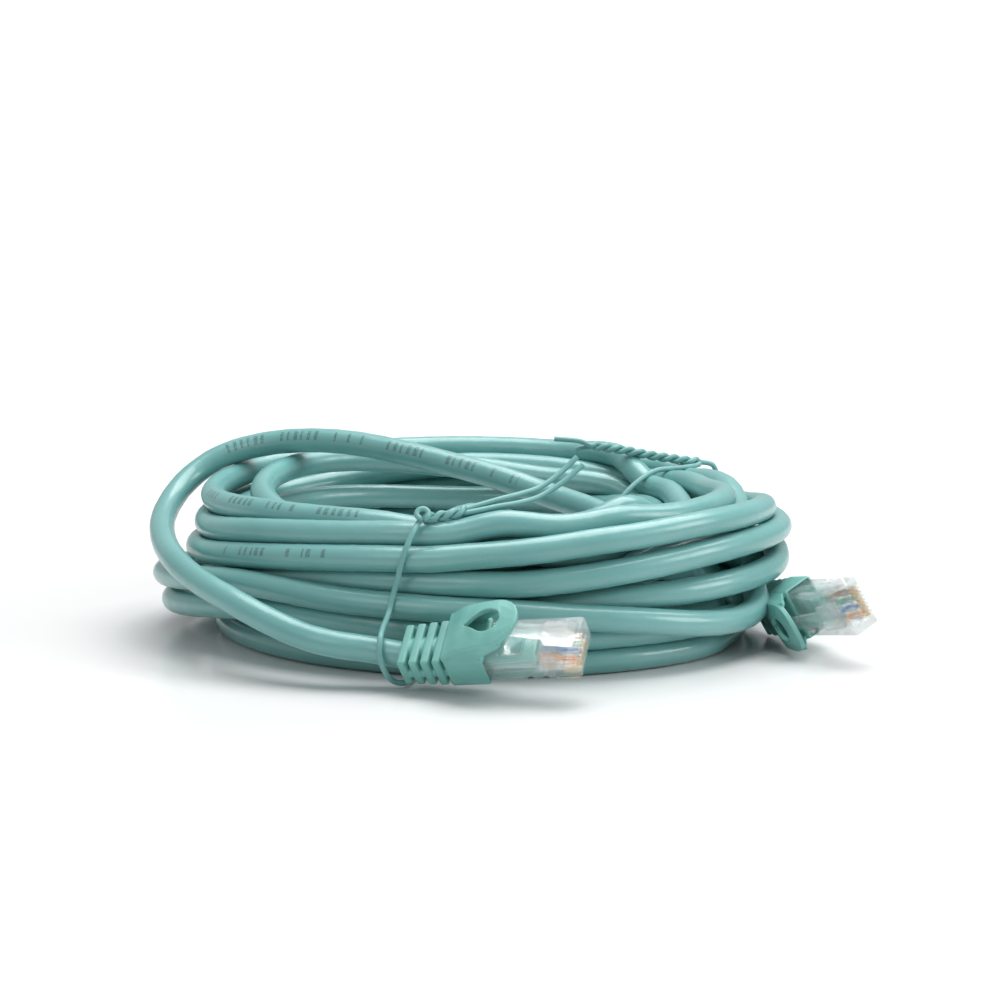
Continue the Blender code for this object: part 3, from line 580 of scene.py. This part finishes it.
def sweptTube(name, line, plan, uvName):
    # the ring's first side is level with the floor, so that marks can be placed round it
    line = np.array(line)
    sides = plan["sides"]
    along = np.gradient(line, axis=0)
    along /= np.linalg.norm(along, axis=1)[:, None]
    side = np.cross(along, np.array((0.0, 0.0, 1.0)))
    side /= np.maximum(np.linalg.norm(side, axis=1), 1e-6)[:, None]
    rise = np.cross(side, along)
    reach = np.r_[0, np.cumsum(np.linalg.norm(np.diff(line, axis=0), axis=1))]
    a = np.linspace(0, 2 * pi, sides, endpoint=False)
    twisted = a[None, :] + 2 * pi * reach[:, None] / plan["lay"]
    radius = plan["diameter"] / 2 + plan["lobe"] * (np.cos(4 * twisted) - 1)
    way = np.cos(a)[None, :, None] * side[:, None, :] + np.sin(a)[None, :, None] * rise[:, None, :]
    ring = line[:, None, :] + radius[:, :, None] * way
    count = len(line)
    points = [tuple(p) for p in (ring.reshape(-1, 3) * mm)]
    faces = []
    uvs = []
    for i in range(count - 1):
        for k in range(sides):
            n = (k + 1) % sides
            faces.append((i * sides + k, i * sides + n, (i + 1) * sides + n, (i + 1) * sides + k))
            low, high = k / sides, (k + 1) / sides
            u, v = reach[i] * mm, reach[i + 1] * mm
            uvs += [(u, low), (u, high), (v, high), (v, low)]
    faces.append(tuple(range(sides))[::-1])
    faces.append(tuple((count - 1) * sides + k for k in range(sides)))
    uvs += [(0, 0)] * sides + [(reach[-1] * mm, 0)] * sides
    mesh = bpy.data.meshes.new(name)
    mesh.from_pydata(points, [], faces)
    layer = mesh.uv_layers.new(name=uvName)
    layer.data.foreach_set("uv", np.array(uvs, np.float32).ravel())
    obj = bpy.data.objects.new(name, mesh)
    bpy.context.scene.collection.objects.link(obj)
    return obj


def selectOnly(obj):
    bpy.ops.object.select_all(action="DESELECT")
    obj.select_set(True)
    bpy.context.view_layer.objects.active = obj


def fixNormals(obj):
    selectOnly(obj)
    bpy.ops.object.mode_set(mode="EDIT")
    bpy.ops.mesh.select_all(action="SELECT")
    bpy.ops.mesh.normals_make_consistent(inside=False)
    bpy.ops.object.mode_set(mode="OBJECT")


def buildCable():
    line = relaxed(evenSteps(cableRoute(), cable["step"]))
    smooth = evenSteps(throughPoints(line, 4), cable["ring"])
    obj = sweptTube("cableWound", smooth, cable, "alongCable")
    fixNormals(obj)
    bpy.ops.object.shade_smooth_by_angle(angle=radians(50))
    obj.data.materials.append(cableFinish())
    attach(obj, "cable")
    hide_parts("cable_coil", "cable_lead_a", "cable_lead_b")
    length = np.linalg.norm(np.diff(smooth, axis=0), axis=1).sum() * mm
    print("cable:", round(float(length), 3), "m,", len(smooth), "rings")


def buildTie(name, plan):
    obj = sweptTube("tie" + name.capitalize(), tieLine(plan), tie, "alongTie")
    fixNormals(obj)
    bpy.ops.object.shade_smooth_by_angle(angle=radians(50))
    obj.data.materials.append(tieFinish())
    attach(obj, "cable")
    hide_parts("twist_tie_" + name)


buildCable()
for name, plan in ties.items():
    buildTie(name, plan)
print("ties done")


# the boots are made in the plug's own frame, in mm, until they are placed
boot = {
    "width": 12.9,
    "height": 8.1,
    "middle": 3.55,
    "bore": 3.12,
    "core": 3.42,
    "ribs": 4,
    "ribThick": 2.0,
    "ribGap": 0.75,
    "ribWidth": 12.2,
    "ribHeight": 7.8,
    "ribTaper": 0.93,
    "spineAt": 3.0,
    "spineHigh": 2.0,
    "crown": 1.1,
    "eyeAt": -18.4,  # the middle of the hood's hole, which is opened up a little
    "eyeWider": 1.5,
    "eyeReach": 6.0,
    "cheek": 1.1,
    "pocket": ((-24.86, -18), (-5.99, 5.99), (0.35, 6.75)),  # room for the plug's rear
    "boreFrom": -43,
    "boreTo": -20,
    "ribRound": 0.5,
    "shellRound": 0.75,
    "hoodRoot": ((-29.84, -27.2), (-6.25, 6.25), (7.1, 8.9)),
    "bendFrom": (-29.0, 0, 7.2),  # two points on the hood's middle line, near its root and further up
    "bendTo": (-19.0, 0, 11.5),
    "voxel": 0.17,
    "smoothRounds": 4,
    "keep": 0.5,
}


def applyAll(obj):
    selectOnly(obj)
    for modifier in list(obj.modifiers):
        bpy.ops.object.modifier_apply(modifier=modifier.name)


def copyOf(nodeName, name):
    # a merged copy of a frame node's mesh
    obj = bpy.data.objects.new(name, nodes[nodeName].data.copy())
    bpy.context.scene.collection.objects.link(obj)
    obj.data.materials.clear()
    selectOnly(obj)
    bpy.ops.object.mode_set(mode="EDIT")
    bpy.ops.mesh.select_all(action="SELECT")
    bpy.ops.mesh.remove_doubles(threshold=0.000002)
    bpy.ops.object.mode_set(mode="OBJECT")
    return obj


def placed(letter):
    # from the plug's own frame in mm to the object's frame in metres
    turned = plugFrames[letter].to_3x3().to_4x4()
    return Matrix.Translation(plugFrames[letter].translation * mm) @ turned @ Matrix.Scale(mm, 4)


def roundedBox(x, y, z, bevel, segments=3):
    # a box between two values on each axis, with its edges rounded
    bpy.ops.object.select_all(action="DESELECT")
    bpy.ops.mesh.primitive_cube_add(size=1)
    obj = bpy.context.object
    bpy.ops.object.mode_set(mode="EDIT")
    bpy.ops.transform.resize(value=(x[1] - x[0], y[1] - y[0], z[1] - z[0]))
    bpy.ops.transform.translate(value=((x[0] + x[1]) / 2, (y[0] + y[1]) / 2, (z[0] + z[1]) / 2))
    if bevel:
        bpy.ops.mesh.bevel(offset=bevel, segments=segments, affect="EDGES", clamp_overlap=True)
    bpy.ops.object.mode_set(mode="OBJECT")
    return obj


def roundRod(x, radius, z):
    bpy.ops.object.select_all(action="DESELECT")
    bpy.ops.mesh.primitive_cylinder_add(
        vertices=48,
        radius=radius,
        depth=x[1] - x[0],
        location=((x[0] + x[1]) / 2, 0, z),
        rotation=(0, pi / 2, 0),
    )
    obj = bpy.context.object
    bpy.ops.object.transform_apply(location=True, rotation=True, scale=True)
    return obj


def cutBy(obj, cutters):
    for cutter in cutters:
        cut = obj.modifiers.new("cut", "BOOLEAN")
        cut.operation = "DIFFERENCE"
        cut.solver = "EXACT"
        cut.object = cutter
    applyAll(obj)


def sideCheek(side):
    # the web that joins the hood to the shell: its outline pushed out across the boot
    outer = boot["width"] / 2 - 0.12
    inner = outer - boot["cheek"]
    outline = [
        (-29.7, 5.2), (-22.9, 5.2), (-22.4, 6.9), (-21.4, 7.9), (-20.2, 8.7), (-18.8, 9.5), (-17.3, 10.3),
        (-16.0, 11.2), (-15.2, 12.0), (-17.0, 12.4), (-20.0, 12.2), (-23.0, 11.4), (-26.0, 10.0),
        (-28.4, 8.6), (-29.7, 7.8),
    ]
    bpy.ops.object.select_all(action="DESELECT")
    mesh = bpy.data.meshes.new("cheek")
    mesh.from_pydata([(x, side * inner, z) for x, z in outline], [], [tuple(range(len(outline)))])
    obj = bpy.data.objects.new("cheek", mesh)
    bpy.context.scene.collection.objects.link(obj)
    selectOnly(obj)
    bpy.ops.object.mode_set(mode="EDIT")
    bpy.ops.mesh.select_all(action="SELECT")
    bpy.ops.mesh.extrude_region_move(TRANSFORM_OT_translate={"value": (0, side * boot["cheek"], 0)})
    bpy.ops.mesh.select_all(action="SELECT")
    bpy.ops.mesh.normals_make_consistent(inside=False)
    bpy.ops.object.mode_set(mode="OBJECT")
    return obj


def hoodPlate(letter):
    # the frame's hood, cut finer and bent down towards its sides
    hood = copyOf(f"boot_{letter}_hood", "hood" + letter.upper())
    hood.data.transform(placed(letter).inverted())
    selectOnly(hood)
    bpy.ops.object.mode_set(mode="EDIT")
    bpy.ops.mesh.select_all(action="SELECT")
    bpy.ops.mesh.subdivide(number_cuts=3)
    bpy.ops.object.mode_set(mode="OBJECT")
    half = boot["width"] / 2
    for v in hood.data.vertices:
        share = min(1.0, max(0.0, (v.co.x + 29.9) / 8.0))
        v.co.z += boot["crown"] * share * (0.45 - (v.co.y / half) ** 2)
        out = Vector((v.co.x - boot["eyeAt"], v.co.y))
        widen = boot["eyeWider"] * max(0.0, 1 - out.length / boot["eyeReach"])
        v.co.x += widen * out.normalized().x
        v.co.y += widen * out.normalized().y
    return hood


def buildBoot(letter, mat):
    middle = boot["middle"]
    rear = plugSizes["shellRear"]
    half = boot["width"] / 2
    low, high = middle - boot["height"] / 2, middle + boot["height"] / 2
    bore = roundRod((boot["boreFrom"], boot["boreTo"]), boot["bore"], middle)
    pocket = roundedBox(*boot["pocket"], 0)
    shell = roundedBox((-rear, -plugSizes["shellFront"]), (-half, half), (low, high), boot["shellRound"], 4)
    cutBy(shell, [bore, pocket])
    rest = [roundRod((-plugSizes["bootRear"] + 0.3, -rear + 1), boot["core"], middle)]
    for i in range(boot["ribs"]):
        taper = boot["ribTaper"] ** (i / (boot["ribs"] - 1))
        front = rear + boot["ribGap"] + i * (boot["ribThick"] + boot["ribGap"])
        wide, tall = boot["ribWidth"] / 2 * taper, boot["ribHeight"] / 2 * taper
        away = (-front - boot["ribThick"], -front)
        rest.append(roundedBox(away, (-wide, wide), (middle - tall, middle + tall), boot["ribRound"], 4))
    spine = boot["ribWidth"] / 2 * boot["ribTaper"] - 0.1
    under, over = boot["spineAt"] - boot["spineHigh"] / 2, boot["spineAt"] + boot["spineHigh"] / 2
    away = (-plugSizes["bootRear"] + 1.2, -rear + 0.5)
    rest.append(roundedBox(away, (-spine, spine), (under, over), 0.3))
    for piece in rest:
        cutBy(piece, [bore])
    rest += [roundedBox(*boot["hoodRoot"], 0.35), sideCheek(1), sideCheek(-1), hoodPlate(letter)]
    for helper in (bore, pocket):
        bpy.data.objects.remove(helper)
    bpy.ops.object.select_all(action="DESELECT")
    for piece in rest + [shell]:
        piece.select_set(True)
    bpy.context.view_layer.objects.active = shell
    bpy.ops.object.join()
    shell.name = "boot" + letter.upper()
    remesh = shell.modifiers.new("blend", "REMESH")
    remesh.mode = "VOXEL"
    remesh.voxel_size = boot["voxel"]
    soften = shell.modifiers.new("soften", "SMOOTH")
    soften.factor = 0.5
    soften.iterations = boot["smoothRounds"]
    fewer = shell.modifiers.new("fewer", "DECIMATE")
    fewer.ratio = boot["keep"]
    applyAll(shell)
    bpy.ops.object.shade_smooth()
    shell.data.transform(placed(letter))
    shell.data.materials.append(mat)
    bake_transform(shell)
    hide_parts("boot_" + letter, f"boot_{letter}_hood")
    print("boot", letter, len(shell.data.polygons), "faces")


bootMat = bootFinish("bootPvc", "bootDeep", "boot")
for letter in "ab":
    buildBoot(letter, bootMat)


plugLook = {"edge": 0.11, "segments": 2}
wireColours = [
    ((0.80, 0.74, 0.66), (0.80, 0.33, 0.08)),
    ((0.85, 0.33, 0.07), None),
    ((0.76, 0.80, 0.74), (0.10, 0.42, 0.20)),
    ((0.06, 0.20, 0.55), None),
    ((0.74, 0.78, 0.82), (0.08, 0.24, 0.60)),
    ((0.07, 0.38, 0.18), None),
    ((0.78, 0.74, 0.70), (0.32, 0.17, 0.08)),
    ((0.30, 0.15, 0.07), None),
]


def softEdges(nodeName, name, mat, body):
    # a copy with its moulded edges rounded
    obj = copyOf(nodeName, name)
    bpy.ops.object.mode_set(mode="EDIT")
    bpy.ops.mesh.select_all(action="SELECT")
    bpy.ops.mesh.dissolve_limited(angle_limit=radians(2))
    bpy.ops.object.mode_set(mode="OBJECT")
    bevel = obj.modifiers.new("edges", "BEVEL")
    bevel.width = plugLook["edge"] * mm
    bevel.segments = plugLook["segments"]
    bevel.limit_method = "ANGLE"
    bevel.angle_limit = radians(35)
    applyAll(obj)
    bpy.ops.object.shade_smooth_by_angle(angle=radians(40))
    obj.data.materials.append(mat)
    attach(obj, body)
    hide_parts(nodeName)


def paintNode(name, mat):
    obj = nodes[name]
    obj.data.materials.clear()
    obj.data.materials.append(mat)


clearMat = clearFinish("clearBody", (0.95, 0.975, 0.975), 0.03, 0.08)
barMat = clearFinish("clearBar", (0.90, 0.94, 0.94), 0.10, 0.20)
goldMat = goldFinish()
# the jacket end inside each plug gets a lighter copy of the teal: painted light for the light that the clear
# body blocks
litJacketEndMat = bootFinish("jacketEndLit", "endLitDeep", "end")
wireMats = [wireFinish(f"wire{i + 1}", colour, stripe) for i, (colour, stripe) in enumerate(wireColours)]
for letter in "ab":
    plug = f"plug_{letter}_"
    upper = letter.upper()
    softEdges(plug + "housing", "plugBody" + upper, clearMat, "cable")
    softEdges(plug + "latch", "plugLatch" + upper, clearMat, "latch_" + letter)
    softEdges(plug + "jacket_clamp", "plugClamp" + upper, clearMat, "cable")
    paintNode(plug + "load_bar", barMat)
    paintNode("cable_end_" + letter, litJacketEndMat)
    for i in range(8):
        paintNode(f"{plug}contact_{i + 1}", goldMat)
        paintNode(f"{plug}conductor_{i + 1}", wireMats[i])
print("plugs done")


studio = {
    "floor": 0.52,
    "seen": 1.03,
    "fill": 0.50,
    "top": {"watts": 11.5, "size": 0.85, "at": (0.12, 0.20, 0.85), "aim": (-0.02, 0.0, 0.0)},
    "right": {"watts": 3.0, "size": 0.4, "at": (0.80, -0.25, 0.40), "aim": (0.0, 0.0, 0.02)},
    "front": {"watts": 1.4, "size": 0.5, "at": (-0.55, -0.80, 0.60), "aim": (-0.04, 0.0, 0.02)},
}
cameraSetup = {"at": (-0.0295, -0.615, 0.135), "down": 9.18, "lens": 96.12, "sensor": 36.0}


def addFloor():
    bpy.ops.object.select_all(action="DESELECT")
    place = (-0.03, 0, 0)
    bpy.ops.mesh.primitive_circle_add(vertices=128, radius=studio["floor"], fill_type="NGON", location=place)
    floor = bpy.context.object
    floor.name = "floor"
    floor.data.materials.append(floorFinish())


def addLight(name, plan):
    light = bpy.data.lights.new(name, "AREA")
    light.energy = plan["watts"]
    light.shape = "SQUARE"
    light.size = plan["size"]
    obj = bpy.data.objects.new(name, light)
    bpy.context.scene.collection.objects.link(obj)
    obj.location = plan["at"]
    way = Vector(plan["aim"]) - Vector(plan["at"])
    obj.rotation_euler = way.to_track_quat("-Z", "Y").to_euler()


addFloor()
for name in ("top", "right", "front"):
    addLight(name + "Light", studio[name])
world = bpy.data.worlds.new("studio")
bpy.context.scene.world = world
world.use_nodes = True
sky = world.node_tree.nodes["Background"]
seen = world.node_tree.nodes.new("ShaderNodeLightPath")
level = world.node_tree.nodes.new("ShaderNodeMapRange")
level.inputs["To Min"].default_value = studio["fill"]
level.inputs["To Max"].default_value = studio["seen"]
world.node_tree.links.new(seen.outputs["Is Camera Ray"], level.inputs["Value"])
world.node_tree.links.new(level.outputs[0], sky.inputs["Strength"])
sky.inputs["Color"].default_value = (1, 1, 1, 1)
bpy.context.scene.view_settings.view_transform = "Standard"

lens = bpy.data.cameras.new("camera")
lens.lens = cameraSetup["lens"]
lens.sensor_width = cameraSetup["sensor"]
camera = bpy.data.objects.new("camera", lens)
bpy.context.scene.collection.objects.link(camera)
camera.location = cameraSetup["at"]
camera.rotation_euler = (radians(90 - cameraSetup["down"]), 0, 0)
bpy.context.scene.camera = camera
print("studio done")
